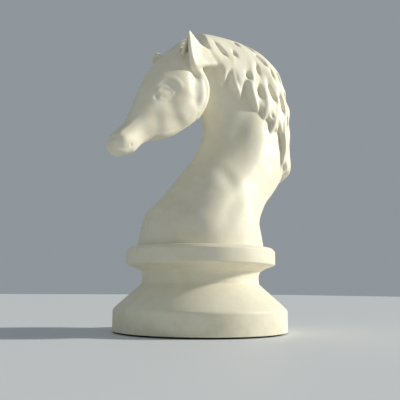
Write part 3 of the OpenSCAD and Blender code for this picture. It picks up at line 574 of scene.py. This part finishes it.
def figure_pieces(vox):
    xs, ys, zs, T, B, R = sculpt(vox)
    V, Q = nets(untangle(T, vox), xs, ys, zs)
    Nrm = vertex_normals(V, Q)
    Nrm[V[:, 0] < 1e-6, 0] = 0
    Nrm /= np.maximum(np.linalg.norm(Nrm, axis=1), 1e-6)[:, None]
    # concavity: how far each vertex lies below the mean of its neighbours, which the material turns into painted shade
    # in hollows and a painted highlight on ridges
    E = directed(Q)
    cav = np.zeros(len(V))
    mean = np.zeros_like(V)
    cnt = np.zeros(len(V))
    for k in (0, 1):
        np.add.at(mean, E[:, k], V[E[:, 1 - k]])
        np.add.at(cnt, E[:, k], 1)
    mean /= cnt[:, None]
    cav = ((mean - V) * Nrm).sum(-1) / vox
    cav[(V[:, 0] < 1e-6) | (V[:, 2] < FOOT + 0.01)] = 0
    for _ in range(4):
        acc = np.zeros(len(V))
        for k in (0, 1):
            np.add.at(acc, E[:, k], cav[E[:, 1 - k]])
        cav = 0.5 * cav + 0.5 * acc / cnt

    def at2(F, P):
        i = np.clip((P[:, 1] - ys[0]) / vox, 0, F.shape[0] - 1.001)
        k = np.clip((P[:, 2] - zs[0]) / vox, 0, F.shape[1] - 1.001)
        a, c = i.astype(int), k.astype(int)
        fi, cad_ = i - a, k - c
        return (F[a, c] * (1 - fi) * (1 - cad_) + F[a + 1, c] * fi * (1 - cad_) + F[a, c + 1] * (1 - fi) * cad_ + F[a + 1, c + 1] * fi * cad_)

    C = V[Q].mean(1)
    mane = at2(R, C) > 0
    p0, nn = EAR_CUT
    ear = ((C - p0) @ nn > 0) & (C[:, 1] < -30) & (np.linalg.norm(C - np.array([52, -62, 672]), axis=1) < 46) & ~mane
    kind = np.where(mane, 1, np.where(ear, 2, 0))
    # smooth parting lines
    for code in (1, 2):
        for _ in range(3):
            inside = np.zeros(len(V), bool)
            outside = np.zeros(len(V), bool)
            inside[np.unique(Q[kind == code])] = True
            outside[np.unique(Q[kind != code])] = True
            idx = np.where(inside & outside)[0]
            if code == 1:
                e = vox
                v = at2(R, V[idx])
                g = np.stack([0 * v, (at2(R, V[idx] + [0, e, 0]) - at2(R, V[idx] - [0, e, 0])) / (2 * e),
                              (at2(R, V[idx] + [0, 0, e]) - at2(R, V[idx] - [0, 0, e])) / (2 * e)], -1)
            else:
                v = (V[idx] - p0) @ nn
                g = np.repeat(nn[None], len(idx), 0)
            snap(V, Nrm, idx, v, g, vox * 0.5)
            V[idx] = to_level(T, xs, ys, zs, V[idx], 0.0, 2, 1.2)
            V[idx[V[idx][:, 0] < 0.4 * vox * 0 + 1e-6], 0] = 0
    V[:, 0] = np.maximum(V[:, 0], 0)

    pressed = to_level(B, xs, ys, zs, V, -3.0)
    deeper = to_level(B, xs, ys, zs, V, -3.2)
    on_seam = V[:, 0] < 1e-6
    on_foot = V[:, 2] < FOOT + 0.01
    pressed[on_seam, 0] = 0
    deeper[on_seam, 0] = 0

    def half_shell(side):
        """Half of the horse with its wall, seats for mane, ear and caps, seam face and foot rim."""
        k = kind.copy()
        caps = []
        Vs = V.copy()
        if side < 0:
            for y, z in SEAM:
                near = (np.hypot(C[:, 1] - y, C[:, 2] - z) < 6.0) & (k == 0) & ~(np.isin(Q, np.where(on_seam)[0]).any(1))
                if near.sum() < 12:
                    continue
                code = 10 + len(caps)
                k[near] = code
                ids = np.intersect1d(np.unique(Q[k == code]), np.unique(Q[k != code]))
                for _ in range(2):
                    d = Vs[ids][:, 1:] - [y, z]
                    L = np.linalg.norm(d, axis=1)
                    snap(Vs, Nrm, ids, L - 6.0, np.concatenate([np.zeros((len(ids), 1)), d / L[:, None]], 1), vox)
                caps.append(code)
        # one sheet: skin, then the seats with their own sunk copies of the vertices
        n = len(V)
        pos = [Vs]
        src = [np.arange(n)]
        faces = [Q[k == 0]]
        level = [np.full(n, -5.0)]
        for code in [1] + caps:
            q = Q[k == code]
            off = n * len(pos)
            pos.append(deeper if code == 1 else Vs - 3.8 * Nrm)
            src.append(np.arange(n))
            level.append(np.full(n, -8.4 if code == 1 else -9.0))
            faces.append(q + off)
            E2 = rim_edges(q)
            keep = ~((on_seam[E2[:, 0]] & on_seam[E2[:, 1]]) | (on_foot[E2[:, 0]] & on_foot[E2[:, 1]]))
            E2 = E2[keep]
            faces.append(np.stack([E2[:, 0], E2[:, 1], E2[:, 1] + off, E2[:, 0] + off], -1))
        P, S, Lv = np.vstack(pos), np.concatenate(src), np.concatenate(level)
        F = np.vstack(faces)
        # floor of the ear's seat: a fan around the parting loop
        E3 = rim_edges(Q[kind == 2])
        centre = V[np.unique(E3)].mean(0) - 3.0 * nn
        ci = len(P)
        P = np.vstack([P, centre])
        S = np.append(S, 0)
        Lv = np.append(Lv, -9.0)
        F = np.vstack([F, np.stack([E3[:, 0], E3[:, 1], np.full(len(E3), ci), np.full(len(E3), ci)], -1)])
        used = np.unique(F)
        m = np.full(len(P), -1)
        m[used] = np.arange(len(used))
        P, F, S, Lv = P[used], m[F], S[used], Lv[used]
        inner = to_level(B, xs, ys, zs, P, 0.0)
        inner = inner + 0
        g = gradient(B, xs, ys, zs, inner, 2.5)
        g /= np.maximum(np.linalg.norm(g, axis=1), 0.3)[:, None]
        inner = to_level(B, xs, ys, zs, inner + g * Lv[:, None], Lv, 3)
        seam = P[:, 0] < 1e-6
        foot = P[:, 2] < FOOT + 0.01
        inner[seam, 0] = 0
        inner[:, 0] = np.maximum(inner[:, 0], 0)
        inner[foot, 2] = FOOT
        out, faces_, u = thicken(F, P, inner)
        cv = np.concatenate([cav[S[u]], 0 * cav[S[u]]])
        out = out + [0.06, 0, 0]
        out[:, 0] *= side
        if side < 0:
            faces_ = faces_[:, ::-1]
        cap_list = []
        for code in caps:
            a, b, u2 = thicken(Q[k == code], Vs + 0.0 * Nrm, Vs - 3.7 * Nrm)
            cc = a.mean(0)
            a = cc + (a - cc) * 0.985
            a[:, 0] *= -1
            cap_list.append((a, b[:, ::-1]))
        return (out, faces_, cv), cap_list

    left, _ = half_shell(1)
    right, caps = half_shell(-1)

    # mane: both sides welded along the crest
    q = Q[kind == 1]
    used = np.unique(q)
    m = np.full(len(V), -1)
    m[used] = np.arange(len(used))
    n = len(used)
    mirror = np.arange(n) + n
    mirror[on_seam[used]] = np.arange(n)[on_seam[used]]
    top = np.vstack([V[used], V[used] * [-1, 1, 1]])
    bot = np.vstack([pressed[used], pressed[used] * [-1, 1, 1]])
    qq = np.vstack([m[q], mirror[m[q]][:, ::-1]])
    mv, mf, u = thicken(qq, top, bot)
    mane_cav = np.concatenate([np.tile(cav[used], 2)[u], 0 * np.tile(cav[used], 2)[u]])
    # ears: skin of the leaf closed by a fan
    q = Q[kind == 2]
    used = np.unique(q)
    m = np.full(len(V), -1)
    m[used] = np.arange(len(used))
    ev = np.vstack([V[used], V[np.unique(rim_edges(q))].mean(0) - 2.8 * nn])
    e = rim_edges(m[q])
    ef = np.vstack([m[q], np.stack([e[:, 1], e[:, 0], np.full(len(e), len(used)), np.full(len(e), len(used))], -1)])
    ecav = np.append(cav[used], 0)
    return {"left": left, "right": right, "caps": caps, "mane": (mv, mf, mane_cav), "ear": (ev, ef, ecav)}

# ------------------------------------------------------------------ materials
def nodes_of(mat):
    mat.use_nodes = True
    nt = mat.node_tree
    nt.nodes.clear()
    out = nt.nodes.new("ShaderNodeOutputMaterial")
    bsdf = nt.nodes.new("ShaderNodeBsdfPrincipled")
    nt.links.new(bsdf.outputs["BSDF"], out.inputs["Surface"])
    return nt, bsdf


def noise(nt, vec, scale, detail=3.0, rough=0.5, distortion=0.0):
    n = nt.nodes.new("ShaderNodeTexNoise")
    n.inputs["Scale"].default_value = scale
    n.inputs["Detail"].default_value = detail
    n.inputs["Roughness"].default_value = rough
    n.inputs["Distortion"].default_value = distortion
    nt.links.new(vec, n.inputs["Vector"])
    return n


def ramp(nt, fac, stops):
    r = nt.nodes.new("ShaderNodeValToRGB")
    cr = r.color_ramp
    while len(cr.elements) < len(stops):
        cr.elements.new(0.5)
    for e, (p, c) in zip(cr.elements, stops):
        e.position = p
        e.color = (*c, 1) if len(c) == 3 else c
    nt.links.new(fac, r.inputs["Fac"])
    return r


def math(nt, op, a, b=None, clamp=False):
    n = nt.nodes.new("ShaderNodeMath")
    n.operation = op
    n.use_clamp = clamp
    for s, v in ((0, a), (1, b)):
        if v is None:
            continue
        if isinstance(v, (int, float)):
            n.inputs[s].default_value = v
        else:
            nt.links.new(v, n.inputs[s])
    return n.outputs[0]


def mix(nt, fac, a, b, mode="MIX"):
    n = nt.nodes.new("ShaderNodeMix")
    n.data_type = "RGBA"
    n.blend_type = mode
    for s, v in (("Factor", fac), ("A", a), ("B", b)):
        sock = [i for i in n.inputs if i.name == s and (i.type == "VALUE" if s == "Factor" else i.type == "RGBA")][0]
        if isinstance(v, (int, float)):
            sock.default_value = v
        elif isinstance(v, tuple):
            sock.default_value = (*v, 1)
        else:
            nt.links.new(v, sock)
    return [o for o in n.outputs if o.type == "RGBA"][0]


def bump(nt, bsdf, height, dist, strength=1.0, under=None):
    b = nt.nodes.new("ShaderNodeBump")
    b.inputs["Distance"].default_value = dist
    b.inputs["Strength"].default_value = strength
    nt.links.new(height, b.inputs["Height"])
    if under is not None:
        nt.links.new(under.outputs["Normal"], b.inputs["Normal"])
    nt.links.new(b.outputs["Normal"], bsdf.inputs["Normal"])
    return b


def coords(nt):
    return nt.nodes.new("ShaderNodeTexCoord").outputs["Object"]


def ivory(name, base, grime=0.16, rough=0.56, cavity_shade=True):
    """Weathered moulded plastic: satin skin, fine moulding grain, faint mottling, scuffs, dust low down, and, unless
    switched off, painted shade in hollows and a painted highlight on ridges from the per-vertex masks.
    """
    mat = bpy.data.materials.new(name)
    nt, b = nodes_of(mat)
    v = coords(nt)
    big = noise(nt, v, 5.5, 4, 0.55, 0.3)
    mid = noise(nt, v, 34, 5, 0.6)
    fine = noise(nt, v, 420, 3, 0.55)
    tone = ramp(nt, big.outputs["Fac"], [(0.34, tuple(c * 0.955 for c in base)), (0.5, base), (0.68, tuple(min(1, c * 1.03) for c in base))])
    col = tone.outputs["Color"]
    warm = ramp(nt, mid.outputs["Fac"], [(0.40, (1, 1, 1)), (0.62, (0.965, 0.95, 0.905))])
    col = mix(nt, 1.0, col, warm.outputs["Color"], "MULTIPLY")
    # thin scuffs, stretched along the height
    mp = nt.nodes.new("ShaderNodeMapping")
    mp.inputs["Scale"].default_value = (1, 1, 0.22)
    mp.inputs["Rotation"].default_value = (0.2, 0.35, 0.1)
    nt.links.new(v, mp.inputs["Vector"])
    sc = noise(nt, mp.outputs["Vector"], 95, 2, 0.5, 1.6)
    scuff = ramp(nt, sc.outputs["Fac"], [(0.655, (0, 0, 0)), (0.70, (1, 1, 1))])
    col = mix(nt, math(nt, "MULTIPLY", scuff.outputs["Color"], 0.10), col, (0.98, 0.97, 0.93))
    # dust near the ground, in noise patches
    sep = nt.nodes.new("ShaderNodeSeparateXYZ")
    nt.links.new(v, sep.inputs[0])
    low = nt.nodes.new("ShaderNodeMapRange")
    low.inputs["From Min"].default_value, low.inputs["From Max"].default_value = 0.055, 0.0
    low.inputs["To Min"].default_value, low.inputs["To Max"].default_value = 0.0, 1.0
    nt.links.new(sep.outputs["Z"], low.inputs["Value"])
    patch = ramp(nt, mid.outputs["Fac"], [(0.42, (0, 0, 0)), (0.66, (1, 1, 1))])
    dirt = math(nt, "MULTIPLY", math(nt, "MULTIPLY", low.outputs["Result"], patch.outputs["Color"]), grime, True)
    col = mix(nt, dirt, col, (0.42, 0.37, 0.28))
    rough_in = ramp(nt, mid.outputs["Fac"], [(0.3, (rough - 0.05,) * 3), (0.7, (rough + 0.09,) * 3)])
    rg = rough_in.outputs["Color"]
    if cavity_shade:
        # painted shade: hollows darkened towards brown and made rougher, from the per-vertex concavity mask
        at = nt.nodes.new("ShaderNodeAttribute")
        at.attribute_name = "cavity_shade"
        cav = ramp(nt, at.outputs["Fac"], [(0.0, (0, 0, 0)), (1.0, (1, 1, 1))])
        cv = math(nt, "MULTIPLY", cav.outputs["Color"], 0.42, True)
        col = mix(nt, cv, col, (0.60, 0.52, 0.36))
        # painted highlight: convex ridges lightened towards pale cream, from the per-vertex convexity mask
        ridge_highlight_mask = nt.nodes.new("ShaderNodeAttribute")
        ridge_highlight_mask.attribute_name = "ridge"
        edge = math(nt, "MULTIPLY", ridge_highlight_mask.outputs["Fac"], 0.22, True)
        col = mix(nt, edge, col, (0.965, 0.95, 0.90))
        rg = mix(nt, cv, rg, (0.75, 0.75, 0.75))
    nt.links.new(col, b.inputs["Base Color"])
    nt.links.new(rg, b.inputs["Roughness"])
    b.inputs["IOR"].default_value = 1.5
    b.inputs["Subsurface Weight"].default_value = 0.08
    b.inputs["Subsurface Radius"].default_value = (1.0, 0.7, 0.4)
    b.inputs["Subsurface Scale"].default_value = 0.004
    h1 = bump(nt, b, mid.outputs["Fac"], 0.0012, 0.35)
    bump(nt, b, fine.outputs["Fac"], 0.00022, 0.5, h1)
    return mat


def plain(name, c0, c1, scale, rough, metal=0.0, bump_d=0.0002, stretch=(1, 1, 1), spec=0.5, coat=0.0):
    mat = bpy.data.materials.new(name)
    nt, b = nodes_of(mat)
    mp = nt.nodes.new("ShaderNodeMapping")
    mp.inputs["Scale"].default_value = stretch
    nt.links.new(coords(nt), mp.inputs["Vector"])
    a = noise(nt, mp.outputs["Vector"], scale, 5, 0.6)
    f = noise(nt, mp.outputs["Vector"], scale * 7, 3, 0.5)
    col = ramp(nt, a.outputs["Fac"], [(0.32, c0), (0.68, c1)])
    fl = ramp(nt, f.outputs["Fac"], [(0.35, (0.90, 0.90, 0.90)), (0.6, (1, 1, 1))])
    nt.links.new(mix(nt, 1.0, col.outputs["Color"], fl.outputs["Color"], "MULTIPLY"), b.inputs["Base Color"])
    r = ramp(nt, f.outputs["Fac"], [(0.3, (rough - 0.07,) * 3), (0.7, (rough + 0.08,) * 3)])
    nt.links.new(r.outputs["Color"], b.inputs["Roughness"])
    b.inputs["Metallic"].default_value = metal
    b.inputs["Specular IOR Level"].default_value = spec
    bump(nt, b, f.outputs["Fac"], bump_d, 0.7)
    return mat


BASE = (0.85, 0.805, 0.65)
M = {
    "ivory_body": ivory("ivory_body", BASE),
    "ivory_foot": ivory("ivory_foot", (0.74, 0.69, 0.53), 0.1, 0.5, False),
    "dark_nylon": plain("dark_nylon", (0.030, 0.031, 0.034), (0.052, 0.053, 0.056), 60, 0.42),
    "recycled_plate": plain("recycled_plate", (0.045, 0.047, 0.050), (0.085, 0.086, 0.088), 45, 0.62, bump_d=0.0005),
    "rubber": plain("rubber", (0.018, 0.018, 0.019), (0.034, 0.033, 0.032), 120, 0.72, bump_d=0.0003, spec=0.35),
    "foam": plain("foam", (0.08, 0.085, 0.09), (0.14, 0.145, 0.15), 220, 0.9, bump_d=0.0008, spec=0.2),
    "steel": plain("steel", (0.50, 0.51, 0.53), (0.66, 0.67, 0.69), 160, 0.32, 1.0, 0.00008, (1, 1, 6)),
    "alu_tube": plain("alu_tube", (0.62, 0.63, 0.65), (0.74, 0.75, 0.77), 120, 0.36, 1.0, 0.00008, (6, 6, 0.4)),
    "sand": plain("sand", (0.42, 0.33, 0.20), (0.68, 0.57, 0.38), 600, 0.95, bump_d=0.0009, spec=0.2),
    "wood_pin": plain("wood_pin", (0.42, 0.27, 0.13), (0.60, 0.43, 0.24), 70, 0.6, stretch=(0.3, 5, 5)),
}
slots = {c["node"]: c["material_slot"] for c in frame["record"]["subparts"]}
for name, ob in NODE.items():
    ob.data.materials.clear()
    ob.data.materials.append(M[slots[name]])


# ------------------------------------------------------------------ pieces
def piece(name, V, Q, mat, cav=None, sharp=38.0):
    me = bpy.data.meshes.new(name)
    faces = [tuple(dict.fromkeys(f)) for f in Q.tolist()]
    me.from_pydata((V * MM).tolist(), [], faces)
    me.update()
    me.shade_smooth()
    me.set_sharp_from_angle(angle=np.radians(sharp))
    ob = bpy.data.objects.new(name, me)
    bpy.context.scene.collection.objects.link(ob)
    me.materials.append(mat)
    if cav is not None:
        # per-vertex masks for the painted shade in hollows and the painted highlight on ridges
        for key, val in (("cavity_shade", np.clip(cav * 9.0, 0, 1)), ("ridge", np.clip(-cav * 9.0, 0, 1))):
            a = me.attributes.new(key, "FLOAT", "POINT")
            a.data.foreach_set("value", val.astype(np.float32))
    return ob


def thin_out(ob, faces):
    me = ob.data
    me.calc_loop_triangles()
    n = len(me.loop_triangles)
    if n <= faces:
        return
    mod = ob.modifiers.new("thin", "DECIMATE")
    mod.ratio = faces / n
    dg = bpy.context.evaluated_depsgraph_get()
    new = bpy.data.meshes.new_from_object(ob.evaluated_get(dg))
    ob.modifiers.clear()
    ob.data = new
    new.name = ob.name
    new.shade_smooth()
    new.set_sharp_from_angle(angle=np.radians(42))


G = figure_pieces(VOXEL)
left = piece("horse_half_left", *G["left"][:2], M["ivory_body"], G["left"][2])
rght = piece("horse_half_right", *G["right"][:2], M["ivory_body"], G["right"][2])
mane = piece("mane_locks", *G["mane"][:2], M["ivory_body"], G["mane"][2])
ev, ef, ec = G["ear"]
ear_l = piece("ear_leaf_left", ev, ef, M["ivory_body"], ec)
ear_r = piece("ear_leaf_right", ev * [-1, 1, 1], ef[:, ::-1], M["ivory_body"], ec)
cv, cf, o = [], [], 0
for v, f in G["caps"]:
    cv.append(v)
    cf.append(f + o)
    o += len(v)
caps = piece("seam_screw_caps", np.vstack(cv), np.vstack(cf), M["ivory_body"])
for ob, n in ((left, 120000), (rght, 120000), (mane, 150000)):
    thin_out(ob, n)
for ob, node in ((left, "figure_shell_left"), (rght, "figure_shell_right"), (mane, "mane_crest"),
                 (ear_l, "left_ear"), (ear_r, "right_ear"), (caps, "screw_caps")):
    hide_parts(node)
    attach(ob, "figure")

# ------------------------------------------------------------------ turned base
def fillet(pts, n=7):
    """Profile [r, z, corner radius] with rounded corners."""
    out = []
    m = len(pts)
    for i in range(m):
        p, a, b = (np.array(pts[j % m][:2], float) for j in (i, i - 1, i + 1))
        rad = pts[i][2]
        u, w = a - p, b - p
        lu, lw = np.linalg.norm(u), np.linalg.norm(w)
        u, w = u / lu, w / lw
        half = 0.5 * np.arccos(np.clip(u @ w, -1, 1))
        if rad <= 0 or half > 1.55:
            out.append(p)
            continue
        cut_ = min(rad / np.tan(half), 0.49 * lu, 0.49 * lw)
        rr = cut_ * np.tan(half)
        c = p + (u + w) / np.linalg.norm(u + w) * rr / np.sin(half)
        s, e = p + u * cut_, p + w * cut_
        a0, a1 = np.arctan2(*(s - c)[::-1]), np.arctan2(*(e - c)[::-1])
        da = (a1 - a0 + np.pi) % (2 * np.pi) - np.pi
        k = max(2, min(n, int(abs(da) * rr / 0.8) + 2))
        for t in range(k + 1):
            out.append(c + rr * np.array([np.cos(a0 + da * t / k), np.sin(a0 + da * t / k)]))
    return np.array(out)


PROFILE = [
    (197, 3, 1.5), (197, 50, 9), (187, 60, 7), (134, 107, 7), (133, 118, 14), (133.4, 127, 6), (137, 134.5, 5),
    (149, 142, 9), (165, 147.6, 4), (171, 150.5, 4), (171, 180, 4), (165, 187, 4.5),
    (104, 187, 0.6), (104, 182, 0.4), (159, 182, 3), (163.5, 178, 3), (163.5, 154, 4), (147, 148, 4), (134, 142, 4),
    (129, 134, 4), (127.5, 124, 3), (127.5, 114, 3), (130, 106, 4), (140, 95, 3), (153.5, 81.5, 3), (187, 55, 4),
    (191, 46, 3), (191, 27, 0.6), (177, 27, 0.6), (177, 13.1, 0.4), (192, 13.1, 0.4), (192, 3, 0.6)]


def turned(name, prof, n, mat):
    P = fillet(prof)
    k = len(P)
    a = np.arange(n) * 2 * np.pi / n
    V = np.stack([P[:, 0][None] * np.cos(a)[:, None], P[:, 0][None] * np.sin(a)[:, None], np.repeat(P[:, 1][None], n, 0)], -1).reshape(-1, 3)
    i, j = np.meshgrid(np.arange(n), np.arange(k), indexing="ij")
    i2, j2 = (i + 1) % n, (j + 1) % k
    Q = np.stack([i * k + j, i2 * k + j, i2 * k + j2, i * k + j2], -1).reshape(-1, 4)
    return piece(name, V, Q, mat, None, 30.0)


base = turned("turned_base", PROFILE, 192, M["ivory_body"])
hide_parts("base_shell")
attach(base, "base")

# ------------------------------------------------------------------ floor and light
me = bpy.data.meshes.new("floor")
bm_v = [(-9, -9, -0.0005), (9, -9, -0.0005), (9, 9, -0.0005), (-9, 9, -0.0005)]
me.from_pydata(bm_v, [], [(0, 1, 2, 3)])
floor = bpy.data.objects.new("floor", me)
bpy.context.scene.collection.objects.link(floor)
fm = bpy.data.materials.new("floor")
nt, b = nodes_of(fm)
b.inputs["Base Color"].default_value = (0.66, 0.68, 0.70, 1)
b.inputs["Roughness"].default_value = 0.6
me.materials.append(fm)

world = bpy.data.worlds.new("world")
bpy.context.scene.world = world
world.use_nodes = True
wn = world.node_tree
bg = wn.nodes["Background"]
bg.inputs["Color"].default_value = (0.84, 0.93, 1.0, 1)
bg.inputs["Strength"].default_value = 0.33


def lamp(name, kind, energy, color, pos, target, size=None, angle=None):
    d = bpy.data.lights.new(name, kind)
    d.energy = energy
    d.color = color
    if size:
        d.shape = "DISK"
        d.size = size
    if angle:
        d.angle = np.radians(angle)
    ob = bpy.data.objects.new(name, d)
    ob.location = pos
    ob.rotation_euler = (Vector(target) - Vector(pos)).to_track_quat("-Z", "Y").to_euler()
    bpy.context.scene.collection.objects.link(ob)
    return ob


sun_dir = np.array([0.439 * np.cos(np.radians(24)), 0.899 * np.cos(np.radians(24)), np.sin(np.radians(24))])
lamp("key", "SUN", 3.8, (1.0, 0.97, 0.89), tuple(sun_dir * 4), (0, 0, 0), angle=5)
lamp("fill", "AREA", 0.6, (0.80, 0.90, 1.0), (-0.6, -2.8, 1.2), (0, 0, 0.35), size=2.6)

bpy.context.scene.view_settings.view_transform = "Standard"
